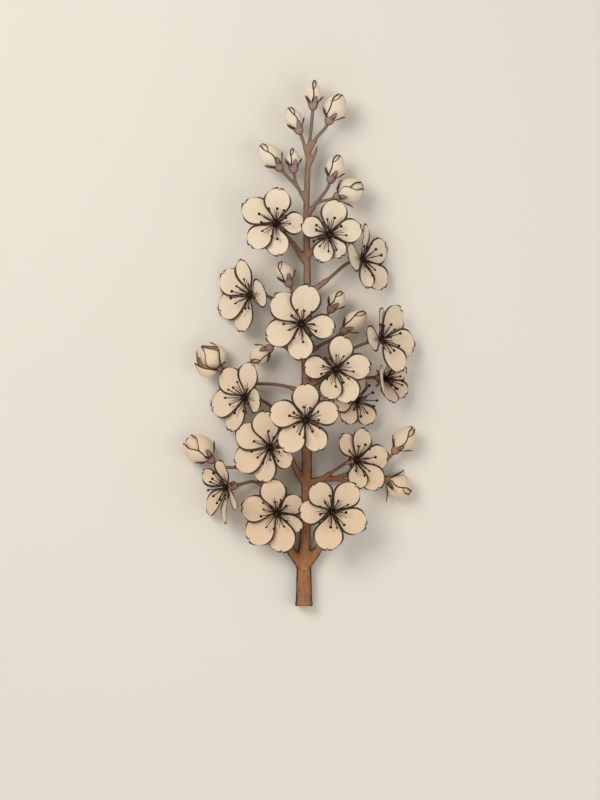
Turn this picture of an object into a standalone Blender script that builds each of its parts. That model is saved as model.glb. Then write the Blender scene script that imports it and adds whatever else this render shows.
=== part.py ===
"""Cherry blossom sprig: a cut flowering twig that lies flat on a table.

The twig runs along +Y, from its cut end to the topmost bud, and the flowers face up, +Z.
Each flower is a calyx on its stalk, a ring of five petals and a tuft of stamens.
Plan positions are in millimetres from the middle of the cut end; heights are above the table.
"""

import math

import bmesh
import bpy
from mathutils import Euler, Matrix, Vector

MM = 0.001

# Clearance left between a piece and the one that carries it.
SEAT_GAP = 0.35

# Petals: distances from the flower's axis, half widths and thickness.
SHORTEST_PETAL = 11.5
LONGEST_PETAL = 19.0
THROAT_INNER = 1.3
THROAT_OUTER = 2.1
CLAW_HALF_ANGLE = 17.0
PETAL_THICKNESS = 0.45
PETAL_TWIST = 9.0
PETAL_DISH = 6.0
PETAL_ROWS = ((0.0, 0.6), (0.3, 3.9), (0.6, 5.8), (0.85, 5.2), (1.0, 2.9))
NOTCH_DEPTH = 1.3

# Calyx: a cup under the petals, five pointed sepals and a slender stalk.
SIDES = 10
CUP_TOP = -0.65
CUP_LENGTH = 5.0
CUP_RADIUS = 2.15
STALK_RADIUS = 0.75
SEPAL_REACH = 6.6
SEPAL_DROP = -2.2

# Stamens: filaments round a small mound, each with a wider anther, and a pistil in the middle.
FILAMENTS = 7
FILAMENT_LENGTH = 8.0
ANTHER_SIZE = 0.5

# The main stem: x, y, height of the axis and radius.
STEM = (
    (0.0, 0.0, 4.2, 4.2),
    (0.0, 6.0, 4.0, 3.7),
    (0.0, 19.0, 4.0, 3.3),
    (0.5, 34.0, 4.4, 2.4),
    (1.3, 60.0, 5.0, 2.35),
    (1.1, 110.0, 6.2, 2.15),
    (1.5, 154.0, 7.6, 1.65),
    (1.2, 185.0, 8.6, 1.35),
    (2.1, 211.0, 9.5, 1.15),
    (2.8, 219.0, 9.8, 0.95),
)

# Side branches and the short spurs that carry one stalk each, in the same form as the stem.
BRANCHES = {
    "fork_left": ((0.0, 18.0, 4.0, 2.6), (-6.8, 27.0, 4.3, 1.9), (-10.2, 35.0, 4.8, 1.2)),
    "fork_right": ((0.0, 18.0, 4.0, 2.6), (6.8, 27.0, 4.5, 1.9), (10.2, 35.0, 5.2, 1.2)),
    "low_left": ((0.9, 45.0, 4.7, 1.5), (-10.0, 52.5, 4.6, 1.2), (-21.5, 58.0, 5.4, 1.0)),
    "bud_13": ((-17.0, 56.0, 5.0, 1.0), (-22.5, 62.5, 5.6, 0.95)),
    "middle_left": ((1.3, 56.5, 4.9, 1.8), (-3.4, 63.5, 5.2, 1.4), (-5.8, 69.0, 6.2, 1.1)),
    "low_right": ((1.3, 57.0, 4.9, 1.7), (8.0, 59.6, 5.0, 1.5), (16.0, 60.2, 4.8, 1.2)),
    "flower_11": ((8.0, 59.6, 5.0, 1.2), (12.5, 62.6, 6.8, 1.1)),
    "bud_14": ((15.0, 60.2, 4.8, 1.0), (21.0, 62.2, 4.6, 0.95)),
    "bud_15": ((15.0, 60.2, 4.8, 1.0), (21.0, 58.2, 4.6, 0.95)),
    "flower_09": ((1.2, 73.0, 5.3, 1.3), (0.9, 78.0, 8.6, 1.05)),
    "flower_08": ((1.2, 83.0, 5.5, 1.5), (-9.0, 89.5, 6.3, 1.1)),
    "flower_15": ((1.1, 91.0, 5.7, 1.3), (8.5, 93.8, 5.6, 1.0)),
    "flower_16": ((1.1, 97.0, 5.9, 1.3), (13.0, 102.0, 6.4, 1.0)),
    "bud_12": ((1.1, 100.5, 6.0, 1.3), (-6.5, 103.0, 5.6, 0.95)),
    "flower_07": ((1.1, 103.5, 6.0, 1.3), (6.5, 105.5, 8.4, 1.05)),
    "flower_06": ((1.1, 111.5, 6.2, 1.4), (12.5, 116.2, 7.0, 1.05)),
    "bud_11": ((1.1, 115.0, 6.3, 1.2), (-4.5, 118.5, 6.5, 0.95)),
    "flower_05": ((1.1, 116.5, 6.3, 1.3), (0.4, 121.8, 9.4, 1.05)),
    "bud_10": ((1.1, 118.5, 6.4, 1.2), (6.5, 122.0, 6.8, 0.95)),
    "bud_09": ((1.2, 126.0, 6.7, 1.2), (5.5, 130.2, 7.2, 0.95)),
    "flower_04": ((1.3, 134.0, 6.9, 1.4), (-7.5, 140.0, 7.4, 1.05)),
    "bud_08": ((1.3, 138.5, 7.1, 1.2), (-2.8, 143.8, 7.6, 0.95)),
    "flower_03": ((1.4, 146.5, 7.4, 1.5), (11.0, 153.5, 8.6, 1.1)),
    "flower_01": ((1.4, 161.0, 7.8, 1.5), (-5.4, 171.0, 8.8, 1.1)),
    "flower_02": ((1.4, 163.5, 7.9, 1.2), (5.2, 168.6, 10.4, 1.05)),
    "buds_06_07": ((1.2, 182.5, 8.5, 1.2), (4.8, 188.2, 9.2, 0.95)),
    "buds_04_05": ((1.4, 190.0, 8.7, 1.2), (-1.6, 194.8, 9.2, 0.95)),
    "bud_03": ((2.1, 210.5, 9.5, 1.1), (0.2, 216.6, 10.0, 0.9)),
    "bud_02": ((2.2, 213.0, 9.6, 1.0), (5.6, 219.6, 10.1, 0.9)),
    "scale_leaf": ((2.1, 207.0, 9.4, 1.1), (5.0, 212.6, 10.4, 0.8), (6.2, 216.2, 11.4, 0.3)),
}

# Flowers: throat point, heading and tilt of the face, how far the petals rise towards the axis,
# and each petal's direction and reach as seen from above.
FLOWERS = {
    "flower_01": ((-13.1, 179.6, 16.0), 150, 8, 12,
                  ((86, 16.6), (148, 17.9), (220, 16.2), (274, 15.3), (0, 13.5))),
    "flower_02": ((11.6, 174.5, 20.5), 300, 9, 12,
                  ((76, 16.0), (8, 15.7), (-61, 12.6), (-107, 13.8), (159, 13.4))),
    "flower_03": ((27.3, 163.0, 11.5), 10, 50, 14,
                  ((83, 16.8), (28, 13.9), (-49, 17.2), (-78, 13.9), (170, 6.5))),
    "flower_04": ((-25.1, 146.2, 10.2), 188, 42, 14,
                  ((144, 17.4), (205, 17.7), (252, 17.8), (105, 17.1), (10, 7.0))),
    "flower_05": ((-1.2, 132.5, 23.0), 270, 5, 11,
                  ((80, 18.3), (134, 18.2), (203, 17.7), (267, 17.0), (-8, 15.7))),
    "flower_06": ((36.1, 125.3, 17.0), 10, 46, 14,
                  ((57, 18.0), (88, 14.8), (-11, 16.5), (-55, 17.9), (175, 6.5))),
    "flower_07": ((14.6, 111.4, 20.0), 0, 4, 11,
                  ((75, 16.0), (6, 16.7), (-62, 17.3), (257, 14.5), (175, 14.7))),
    "flower_08": ((-27.4, 98.0, 10.6), 180, 40, 14,
                  ((81, 16.5), (131, 17.3), (193, 17.5), (241, 17.3), (-15, 7.0))),
    "flower_09": ((0.8, 88.0, 22.5), 270, 6, 11,
                  ((90, 16.6), (18, 16.0), (-64, 16.2), (234, 17.9), (166, 17.2))),
    "flower_10": ((-15.7, 74.8, 15.5), 190, 20, 12,
                  ((101, 17.4), (152, 17.9), (207, 19.3), (255, 16.8), (-38, 12.6))),
    "flower_11": ((24.4, 68.8, 13.5), 15, 34, 13,
                  ((119, 13.6), (73, 15.6), (6, 15.8), (-48, 17.5), (-85, 13.2))),
    "flower_12": ((-36.0, 56.2, 12.2), 190, 60, 18,
                  ((150, 14.2), (105, 13.0), (-60, 10.3), (-95, 17.2), (-130, 16.0))),
    "flower_13": ((-12.5, 44.2, 11.6), 230, 8, 12,
                  ((101, 16.0), (170, 17.1), (226, 20.2), (279, 18.9), (28, 13.2))),
    "flower_14": ((13.0, 44.9, 18.2), 320, 8, 12,
                  ((123, 15.5), (48, 17.0), (-24, 17.5), (262, 18.2), (180, 15.3))),
    "flower_15": ((24.9, 97.0, 9.5), 0, 30, 10,
                  ((-58, 13.3), (80, 9.5), (125, 11.5), (185, 11.0), (240, 12.0))),
    "flower_16": ((38.0, 107.2, 8.8), 355, 48, 38,
                  ((62, 9.5), (20, 12.0), (-38, 13.5), (-70, 12.0), (-130, 9.0))),
}

# In these two the stamens have grown together with the petals into one piece.
JOINED_STAMENS = ("flower_15", "flower_16")

# Buds: foot of the calyx, tip, width of the closed petals.
BUDS = {
    "bud_01": ((4.1, 232.8, 10.8), (5.0, 247.2, 11.8), 7.4),
    "bud_02": ((10.9, 226.1, 11.0), (17.4, 240.5, 12.5), 10.6),
    "bud_03": ((-1.5, 221.6, 10.8), (-7.1, 234.4, 12.0), 7.9),
    "bud_04": ((-10.3, 204.7, 10.2), (-20.4, 216.9, 11.5), 10.3),
    "bud_05": ((-4.7, 203.4, 10.0), (-5.5, 215.3, 11.5), 6.5),
    "bud_06": ((12.0, 198.6, 10.2), (16.5, 212.1, 11.5), 8.9),
    "bud_07": ((13.8, 191.7, 10.4), (27.7, 198.0, 12.4), 11.3),
    "bud_08": ((-6.3, 150.0, 8.4), (-11.1, 162.2, 9.6), 8.3),
    "bud_09": ((11.6, 137.9, 8.2), (17.9, 148.1, 9.6), 8.0),
    "bud_10": ((17.2, 128.3, 8.2), (29.0, 138.4, 9.8), 9.5),
    "bud_11": ((-14.5, 122.5, 8.0), (-24.9, 115.1, 8.6), 9.4),
    "bud_12": ((-38.7, 110.8, 5.0), (-49.0, 122.0, 7.0), 13.0),
    "bud_13": ((-42.2, 67.6, 6.2), (-55.2, 79.1, 6.8), 12.5),
    "bud_14": ((41.7, 71.7, 6.6), (51.4, 84.3, 8.4), 10.3),
    "bud_15": ((37.3, 60.6, 5.9), (50.3, 53.4, 6.4), 12.0),
}

# Two buds on one forked stalk, which is one piece.
BUD_PAIRS = {"buds_04_05": ("bud_04", "bud_05"), "buds_06_07": ("bud_06", "bud_07")}

# The closed petals of a bud: share of their length, share of their width.
BUD_PROFILE = ((0.3, 0.88), (0.62, 0.98), (0.88, 0.6), (1.0, 0.1))
BUD_CUP_LENGTH = 3.8
BUD_CUP_RADIUS = 2.2
BUD_SEPAL_LENGTH = 3.6

# Where a flower or bud starts, if its spur has another name: the last point of that branch.
SEATS = {
    "flower_10": "middle_left",
    "flower_12": "low_left",
    "flower_13": "fork_left",
    "flower_14": "fork_right",
}

COLOURS = {
    "bark": ((0.33, 0.15, 0.07), 0.8),
    "calyx": ((0.42, 0.27, 0.22), 0.6),
    "petal": ((0.88, 0.76, 0.62), 0.5),
    "bud": ((0.8, 0.64, 0.52), 0.5),
    "stamen": ((0.06, 0.03, 0.025), 0.6),
}


def clear_scene():
    for old in list(bpy.data.objects):
        bpy.data.objects.remove(old, do_unlink=True)


def new_collection(name):
    collection = bpy.data.collections.new(name)
    bpy.context.scene.collection.children.link(collection)
    return collection


def material(name, kind):
    colour, roughness = COLOURS[kind]
    made = bpy.data.materials.new(name)
    made.use_nodes = True
    shader = made.node_tree.nodes["Principled BSDF"]
    shader.inputs["Base Color"].default_value = (*colour, 1.0)
    shader.inputs["Roughness"].default_value = roughness
    shader.inputs["Metallic"].default_value = 0.0
    made.diffuse_color = (*colour, 1.0)
    return made


def add_object(name, bm, kind):
    """A node from a bmesh in millimetres, hung on the sprig's empty."""
    bmesh.ops.scale(bm, vec=(MM, MM, MM), verts=bm.verts)
    mesh = bpy.data.meshes.new(name)
    bm.to_mesh(mesh)
    bm.free()
    mesh.materials.append(material(name, kind))
    mesh.shade_smooth()
    mesh.set_sharp_from_angle(angle=math.radians(50))
    made = bpy.data.objects.new(name, mesh)
    SPRIG.objects.link(made)
    made.parent = ROOT
    return made


def place(made, point, facing):
    made.location = Vector(point) * MM
    made.rotation_euler = facing


def tube(points, sides=SIDES):
    """A closed tube through points of (x, y, z, radius), as a bmesh in millimetres."""
    curve = bpy.data.curves.new("tube", "CURVE")
    curve.dimensions = "3D"
    curve.twist_mode = "MINIMUM"
    curve.bevel_depth = 1.0
    curve.bevel_resolution = sides // 2 - 2
    curve.use_fill_caps = True
    spline = curve.splines.new("POLY")
    spline.points.add(len(points) - 1)
    for spot, (x, y, z, radius) in zip(spline.points, points):
        spot.co = (x, y, z, 1.0)
        spot.radius = radius
    holder = bpy.data.objects.new("tube", curve)
    bpy.context.scene.collection.objects.link(holder)
    evaluated = holder.evaluated_get(bpy.context.evaluated_depsgraph_get())
    mesh = bpy.data.meshes.new_from_object(evaluated)
    bm = bmesh.new()
    bm.from_mesh(mesh)
    bpy.data.objects.remove(holder, do_unlink=True)
    bpy.data.meshes.remove(mesh)
    bmesh.ops.remove_doubles(bm, verts=bm.verts, dist=0.001)
    bmesh.ops.recalc_face_normals(bm, faces=bm.faces)
    return bm


def union(base, others):
    """Joins other objects into the base with Boolean modifiers and applies them."""
    for other in others:
        join = base.modifiers.new("join", "BOOLEAN")
        join.operation = "UNION"
        join.solver = "EXACT"
        join.object = other
        evaluated = base.evaluated_get(bpy.context.evaluated_depsgraph_get())
        joined = bpy.data.meshes.new_from_object(evaluated)
        base.modifiers.clear()
        base.data = joined
        bpy.data.objects.remove(other, do_unlink=True)


def stalk(seat, seat_direction, end, end_direction, steps=3):
    """Points from a seat on the wood to the foot of a calyx, leaving and arriving straight."""
    start = seat + seat_direction * SEAT_GAP
    pull = (end - start).length * 0.4
    first = start + seat_direction * pull
    second = end - end_direction * pull
    points = []
    for step in range(steps + 1):
        t = step / steps
        s = 1.0 - t
        points.append(start * s**3 + first * 3 * s * s * t + second * 3 * s * t * t + end * t**3)
    return points


def seat_of(name):
    """The end of the branch that carries a flower or bud, and its direction there."""
    points = BRANCHES[SEATS.get(name, name)] if name != "bud_01" else STEM
    before = Vector(points[-2][:3])
    last = Vector(points[-1][:3])
    return last, (last - before).normalized()


def grow_sepals(bm, low, high, reach, height):
    """Draws every second face of the band between two heights out to a pointed sepal."""
    middle = (low + high) / 2
    band = [
        face
        for face in bm.faces
        if abs(face.calc_center_median().z - middle) < 0.2 and abs(face.normal.z) < 0.8
    ]
    band.sort(key=lambda face: math.atan2(*face.calc_center_median().yx))
    for face in band[::2]:
        centre = face.calc_center_median()
        outward = Vector((centre.x, centre.y, 0.0)).normalized()
        tip = outward * reach + Vector((0.0, 0.0, height))
        drawn = bmesh.ops.extrude_discrete_faces(bm, faces=[face])["faces"][0]
        for vert in drawn.verts:
            vert.co = tip + (vert.co - centre) * 0.16


def facing_of(heading, tilt):
    return Euler((0.0, math.radians(tilt), math.radians(heading)))


def petal_angle(heading, tilt, rise, seen):
    """The petal's angle round the flower's own axis that is seen from above in a direction.

    The petal tips lie on a ring round the axis, which is an ellipse as seen from above.
    The second value is the share of a petal's length that is seen from above.
    """
    offset = math.sin(rise) * math.sin(tilt)
    short = math.cos(rise) * math.cos(tilt)
    wide = math.cos(rise)
    turn = seen - heading
    square = (math.cos(turn) / short) ** 2 + (math.sin(turn) / wide) ** 2
    linear = -2 * offset * math.cos(turn) / short**2
    constant = (offset / short) ** 2 - 1
    share = (-linear + math.sqrt(linear**2 - 4 * square * constant)) / (2 * square)
    across = share * math.sin(turn) / wide
    along = (share * math.cos(turn) - offset) / short
    return math.atan2(across, along), share


def petal_layout(flower):
    """Each petal's angle round the axis and its length, sorted round the flower."""
    _, heading, tilt, rise, petals = flower
    heading, tilt, rise = (math.radians(value) for value in (heading, tilt, rise))
    layout = []
    for seen, reach in petals:
        angle, share = petal_angle(heading, tilt, rise, math.radians(seen))
        layout.append((angle % math.tau, min(max(reach / share, SHORTEST_PETAL), LONGEST_PETAL)))
    return sorted(layout)


def shape_petal(bm, angle, length, rise):
    """A notched, slightly dished and twisted petal on the throat's rim."""
    columns, rows = 2, len(PETAL_ROWS) - 1
    before = set(bm.verts)
    bmesh.ops.create_grid(bm, x_segments=columns, y_segments=rows, size=1.0)
    turn = Matrix.Rotation(angle, 3, "Z")
    for vert in [v for v in bm.verts if v not in before]:
        side = round(vert.co.x)
        row = round((vert.co.y + 1) / 2 * rows)
        share, half_width = PETAL_ROWS[row]
        if row == 0:
            claw = math.radians(CLAW_HALF_ANGLE) * side
            spot = Vector((math.cos(claw), math.sin(claw), 0.0)) * THROAT_OUTER
        else:
            out = THROAT_OUTER + share * (length - THROAT_OUTER)
            if row == rows and side == 0:
                out -= NOTCH_DEPTH
            across = side * half_width * length / 17.0
            lift = (out - THROAT_OUTER) * math.sin(rise)
            lift += across * math.sin(math.radians(PETAL_TWIST))
            lift += abs(across) * math.sin(math.radians(PETAL_DISH))
            spot = Vector((out * math.cos(rise), across, lift))
        vert.co = turn @ spot


def make_petals(name, flower):
    point, heading, tilt, rise, _ = flower
    layout = petal_layout(flower)
    bm = bmesh.new()
    ring = bmesh.ops.create_circle(bm, segments=3 * len(layout), radius=1.0)["verts"]
    angles = [
        angle + math.radians(CLAW_HALF_ANGLE) * side for angle, _ in layout for side in (-1, 0, 1)
    ]
    for vert, angle in zip(ring, angles):
        vert.co = Vector((math.cos(angle), math.sin(angle), 0.0)) * THROAT_INNER
    grown = bmesh.ops.extrude_edge_only(bm, edges=bm.edges[:])["geom"]
    for vert in [item for item in grown if isinstance(item, bmesh.types.BMVert)]:
        vert.co *= THROAT_OUTER / THROAT_INNER
    for angle, length in layout:
        shape_petal(bm, angle, length, math.radians(rise))
    bmesh.ops.remove_doubles(bm, verts=bm.verts, dist=0.01)
    bmesh.ops.recalc_face_normals(bm, faces=bm.faces)
    made = add_object(name, bm, "petal")
    place(made, point, facing_of(heading, tilt))
    skin = made.modifiers.new("thickness", "SOLIDIFY")
    skin.thickness = PETAL_THICKNESS * MM
    skin.offset = 0.0
    return made


def make_stamens(name, flower, foot_radius=0.55):
    point, heading, tilt, rise, _ = flower
    steep = math.radians(max(34, rise + 22))
    bm = bmesh.new()
    bmesh.ops.create_cone(
        bm,
        cap_ends=True,
        segments=FILAMENTS,
        radius1=foot_radius,
        radius2=0.45,
        depth=1.6,
        matrix=Matrix.Translation((0.0, 0.0, 0.6)),
    )
    sides = [face for face in bm.faces if abs(face.normal.z) < 0.9]
    top = [face for face in bm.faces if face.normal.z > 0.9]
    for number, face in enumerate(sides):
        centre = face.calc_center_median()
        outward = Vector((centre.x, centre.y, 0.0)).normalized()
        length = FILAMENT_LENGTH * (1.0 if number % 2 else 0.86)
        way = outward * math.cos(steep) + Vector((0.0, 0.0, math.sin(steep)))
        draw_filament(bm, face, centre + way * length, way, 0.2)
    draw_filament(bm, top[0], Vector((0.0, 0.0, 6.5)), Vector((0.0, 0.0, 1.0)), 0.3)
    made = add_object(name, bm, "stamen")
    place(made, point, facing_of(heading, tilt))
    return made


def draw_filament(bm, face, end, way, size):
    """Draws a face out to a thin filament and widens its end to an anther."""
    for spot, radius in ((end - way * 0.9, size), (end, ANTHER_SIZE)):
        face = bmesh.ops.extrude_discrete_faces(bm, faces=[face])["faces"][0]
        centre = face.calc_center_median()
        for vert in face.verts:
            offset = vert.co - centre
            offset -= way * offset.dot(way)
            vert.co = spot + offset.normalized() * radius


def make_calyx(name, flower):
    point, heading, tilt, _, _ = flower
    facing = facing_of(heading, tilt)
    to_local = facing.to_matrix().transposed()
    seat, direction = seat_of(name[: -len("_calyx")])
    up = Vector((0.0, 0.0, 1.0))
    foot = up * (CUP_TOP - CUP_LENGTH)
    points = stalk(to_local @ (seat - Vector(point)), to_local @ direction, foot, up)
    path = [(*spot, STALK_RADIUS) for spot in points]
    path[-1] = (*foot, 1.1)
    path.append((0.0, 0.0, CUP_TOP - 2.2, CUP_RADIUS))
    path.append((0.0, 0.0, CUP_TOP, CUP_RADIUS))
    bm = tube(path)
    grow_sepals(bm, CUP_TOP - 2.2, CUP_TOP, SEPAL_REACH, SEPAL_DROP)
    made = add_object(name, bm, "calyx")
    place(made, point, facing)
    return made


def make_bud(name, seat, direction):
    foot, tip, width = BUDS[name]
    axis = Vector(tip) - Vector(foot)
    heading = math.degrees(math.atan2(axis.y, axis.x))
    tilt = math.degrees(axis.angle(Vector((0.0, 0.0, 1.0))))
    facing = facing_of(heading, tilt)
    to_local = facing.to_matrix().transposed()
    up = Vector((0.0, 0.0, 1.0))
    start = to_local @ (seat - Vector(foot))
    points = stalk(start, to_local @ direction, Vector((0.0, 0.0, 0.0)), up)
    path = [(*spot, STALK_RADIUS) for spot in points]
    path[-1] = (0.0, 0.0, 0.0, 1.0)
    path.append((0.0, 0.0, BUD_CUP_LENGTH, BUD_CUP_RADIUS))
    body = axis.length - BUD_CUP_LENGTH
    for share, wide in BUD_PROFILE:
        path.append((0.0, 0.0, BUD_CUP_LENGTH + share * body, wide * width / 2))
    bm = tube(path)
    reach = width / 2 * BUD_PROFILE[0][1] + 0.7
    grow_sepals(bm, 0.0, BUD_CUP_LENGTH, reach, BUD_CUP_LENGTH + BUD_SEPAL_LENGTH)
    made = add_object(name, bm, "bud")
    place(made, foot, facing)
    return made


def make_bud_pair(name, buds):
    """Two buds whose stalks meet just above one seat."""
    seat, direction = seat_of(name)
    made = [make_bud(bud, seat, direction) for bud in buds]
    bake(made[0])
    bake(made[1])
    union(made[0], made[1:])
    made[0].name = name
    return made[0]


def bake(made):
    """Moves an object's place and modifiers into its mesh, so that it can be joined."""
    bpy.context.view_layer.update()
    evaluated = made.evaluated_get(bpy.context.evaluated_depsgraph_get())
    mesh = bpy.data.meshes.new_from_object(evaluated)
    mesh.transform(made.matrix_basis)
    made.modifiers.clear()
    made.data = mesh
    made.matrix_basis = Matrix.Identity(4)


def make_twig():
    parts = []
    for name, points in (("stem", STEM), *BRANCHES.items()):
        sides = SIDES if name == "stem" else 8
        parts.append(add_object(name, tube(points, sides), "bark"))
    twig = parts[0]
    union(twig, parts[1:])
    twig.name = "twig"
    return twig


def make_flowers():
    for name, flower in FLOWERS.items():
        make_calyx(name + "_calyx", flower)
        petals = make_petals(name + "_petals", flower)
        if name in JOINED_STAMENS:
            stamens = make_stamens(name + "_stamens", flower, THROAT_INNER + 0.25)
            bake(petals)
            bake(stamens)
            union(petals, [stamens])
        else:
            make_stamens(name + "_stamens", flower)


def make_buds():
    paired = [bud for pair in BUD_PAIRS.values() for bud in pair]
    for name in BUDS:
        if name not in paired:
            make_bud(name, *seat_of(name))
    for name, buds in BUD_PAIRS.items():
        make_bud_pair(name, buds)


def centre_on_origin():
    """Sets the sprig on z = 0 with the middle of its outline at the origin."""
    bpy.context.view_layer.update()
    depsgraph = bpy.context.evaluated_depsgraph_get()
    low = Vector((math.inf,) * 3)
    high = -low
    for made in SPRIG.objects:
        if made.type != "MESH":
            continue
        evaluated = made.evaluated_get(depsgraph)
        for vert in evaluated.data.vertices:
            spot = made.matrix_world @ vert.co
            for axis in range(3):
                low[axis] = min(low[axis], spot[axis])
                high[axis] = max(high[axis], spot[axis])
    ROOT.location = (-(low.x + high.x) / 2, -(low.y + high.y) / 2, -low.z)


clear_scene()
SPRIG = new_collection("cherry_blossom_sprig")
ROOT = bpy.data.objects.new("sprig", None)
SPRIG.objects.link(ROOT)
make_twig()
make_flowers()
make_buds()
centre_on_origin()
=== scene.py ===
"""Looks for the cherry blossom sprig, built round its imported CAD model.

Every stalk, calyx, petal, stamen and bud is rebuilt in fine detail where its CAD solid lies.
Lengths below are in millimetres. Plan positions count from the middle of the twig's cut end,
which the frame gives, and heights from the table.
"""

import math
import random

import bmesh
import bpy
from mathutils import Euler, Matrix, Vector, noise


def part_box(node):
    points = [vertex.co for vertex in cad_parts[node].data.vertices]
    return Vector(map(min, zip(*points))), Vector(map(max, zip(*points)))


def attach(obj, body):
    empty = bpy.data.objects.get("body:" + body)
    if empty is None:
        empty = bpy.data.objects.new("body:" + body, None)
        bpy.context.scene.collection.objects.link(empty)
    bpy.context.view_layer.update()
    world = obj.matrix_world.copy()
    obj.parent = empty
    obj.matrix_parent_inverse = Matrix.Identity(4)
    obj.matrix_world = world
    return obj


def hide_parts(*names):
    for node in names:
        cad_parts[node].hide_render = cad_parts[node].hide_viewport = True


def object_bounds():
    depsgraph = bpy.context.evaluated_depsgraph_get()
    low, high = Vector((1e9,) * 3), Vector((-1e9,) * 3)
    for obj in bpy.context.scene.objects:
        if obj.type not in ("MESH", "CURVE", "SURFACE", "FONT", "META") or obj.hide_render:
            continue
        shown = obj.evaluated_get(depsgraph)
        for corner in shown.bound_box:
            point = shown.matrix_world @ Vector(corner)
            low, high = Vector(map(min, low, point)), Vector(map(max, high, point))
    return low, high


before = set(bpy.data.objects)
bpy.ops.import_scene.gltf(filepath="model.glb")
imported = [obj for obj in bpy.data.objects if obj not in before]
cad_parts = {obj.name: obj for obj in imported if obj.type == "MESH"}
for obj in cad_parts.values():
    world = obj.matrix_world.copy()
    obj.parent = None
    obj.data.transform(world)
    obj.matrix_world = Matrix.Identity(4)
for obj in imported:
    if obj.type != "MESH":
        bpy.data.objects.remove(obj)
CAD_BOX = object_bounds()

MM = 0.001
UP = Vector((0.0, 0.0, 1.0))

# How far a stalk reaches into its spur, and the lowest height of a point before its sheet is
# given a thickness.
SEAT_OVERLAP = 0.5
REST_HEIGHT = 0.16

# The twig's skin: voxel size of the remesh, the length at the cut end that stays smooth, and
# what the smoothing takes off the radius.
BARK_STEP = 0.36
SMOOTH_END = 0.6
SMOOTHING_LOSS = 0.1

# The number that stands for "far from any edge" in the fields that the materials read.
FAR_INSIDE = 9.0

# A petal: thickness, radius of the throat where it starts, length against its CAD petal's, half
# width of one of the usual length, lean that lays one edge over the next petal, and the limits
# on the length of one seen foreshortened.
PETAL_THICKNESS = 0.26
PETAL_START = 1.5
TIP_STRETCH = 1.03
USUAL_LENGTH = 17.0
PETAL_HALF_WIDTH = 6.4
OVERLAP_LEAN = math.radians(9.0)
SHORTEST_PETAL = 11.5
LONGEST_PETAL = 19.0

# Stalks, cups and sepals.
STALK_RADIUS = 0.72
STALK_STEPS = 14
SEPAL_THICKNESS = 0.3
SEPAL_STEPS = 12
CUP_FOOT = -5.65
CUP_PROFILE = (
    (CUP_FOOT, 0.75), (-5.2, 1.35), (-4.4, 1.85), (-3.4, 2.05),
    (-2.2, 1.95), (-1.2, 1.95), (-0.6, 2.2), (-0.35, 2.1),
)

# Stamens and pistil.
FILAMENTS = 11
FILAMENT_LENGTH = 8.9
LENGTH_SHARES = (1.0, 0.84, 0.94, 0.77)
ANTHER_RADII = (0.48, 0.48, 0.68)
THROAT_PROFILE = ((-0.25, 1.2), (0.05, 1.6), (0.3, 1.45), (0.42, 1.0), (0.3, 0.5))
PISTIL_PROFILE = (
    (0.0, 0.3), (0.5, 0.62), (1.1, 0.6), (1.8, 0.26), (4.0, 0.2),
    (6.0, 0.2), (6.25, 0.42), (6.55, 0.42), (6.7, 0.2),
)

# Buds: the height where the petals start inside the cup, and half the angle that they wrap.
BUD_PETAL_FOOT = 2.9
BUD_WRAP = 76
BUD_PETAL_THICKNESS = 0.24
BUD_CUP_PROFILE = ((0.0, 0.7), (0.4, 1.3), (1.3, 1.95), (2.4, 2.25), (3.4, 2.3), (3.8, 2.2))
POINTED_BUDS = ("bud_01", "bud_05", "bud_12")

# The camera's height and the height it is framed for, in metres, the sprig's length as a share of
# the picture's height, and how far the sprig's middle lies above the picture's, as such a share.
CAMERA_HEIGHT = 1.6
SPRIG_MIDDLE = 0.01
LENGTH_IN_PICTURE = 0.65875
RISE_IN_PICTURE = 0.070625

# The main stem: x, y, height of the axis and radius.
STEM = (
    (0.0, 0.0, 4.2, 4.15),
    (0.0, 6.0, 4.0, 3.65),
    (0.0, 19.0, 4.0, 3.3),
    (0.5, 34.0, 4.4, 2.4),
    (1.3, 60.0, 5.0, 2.35),
    (1.1, 110.0, 6.2, 2.15),
    (1.5, 154.0, 7.6, 1.65),
    (1.2, 185.0, 8.6, 1.35),
    (2.1, 211.0, 9.5, 1.15),
    (2.8, 219.0, 9.8, 0.95),
)

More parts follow.
